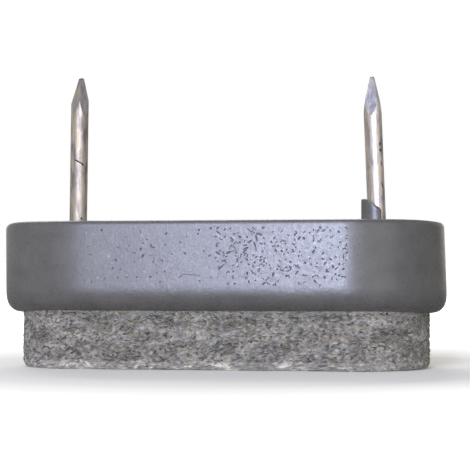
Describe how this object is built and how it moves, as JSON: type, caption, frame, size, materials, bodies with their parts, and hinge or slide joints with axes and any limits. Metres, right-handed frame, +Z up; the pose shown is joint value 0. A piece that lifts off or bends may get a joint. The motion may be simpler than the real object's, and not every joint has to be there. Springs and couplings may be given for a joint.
{
  "type": "nail-on furniture glide",
  "caption": "Round-ended moulded glide with a thick felt pad bonded into its underside and wire nails standing up to be driven into the foot of a furniture leg.",
  "frame": {"origin": "under the middle of the felt pad, on the floor that the glide stands on", "axes": "+X along the glide's length, +Y across it, +Z up the nails into the furniture leg"},
  "size_m": [0.04, 0.015, 0.0262],
  "materials": {
    "grey_plastic": "satin moulded",
    "wool_felt": "mottled grey felt",
    "zinc_wire": "zinc plated"
  },
  "bodies": {
    "root": {"moulded_base": "grey_plastic", "felt_pad": "wool_felt", "left_nail": "zinc_wire", "right_nail": "zinc_wire"}
  },
  "joints": []
}
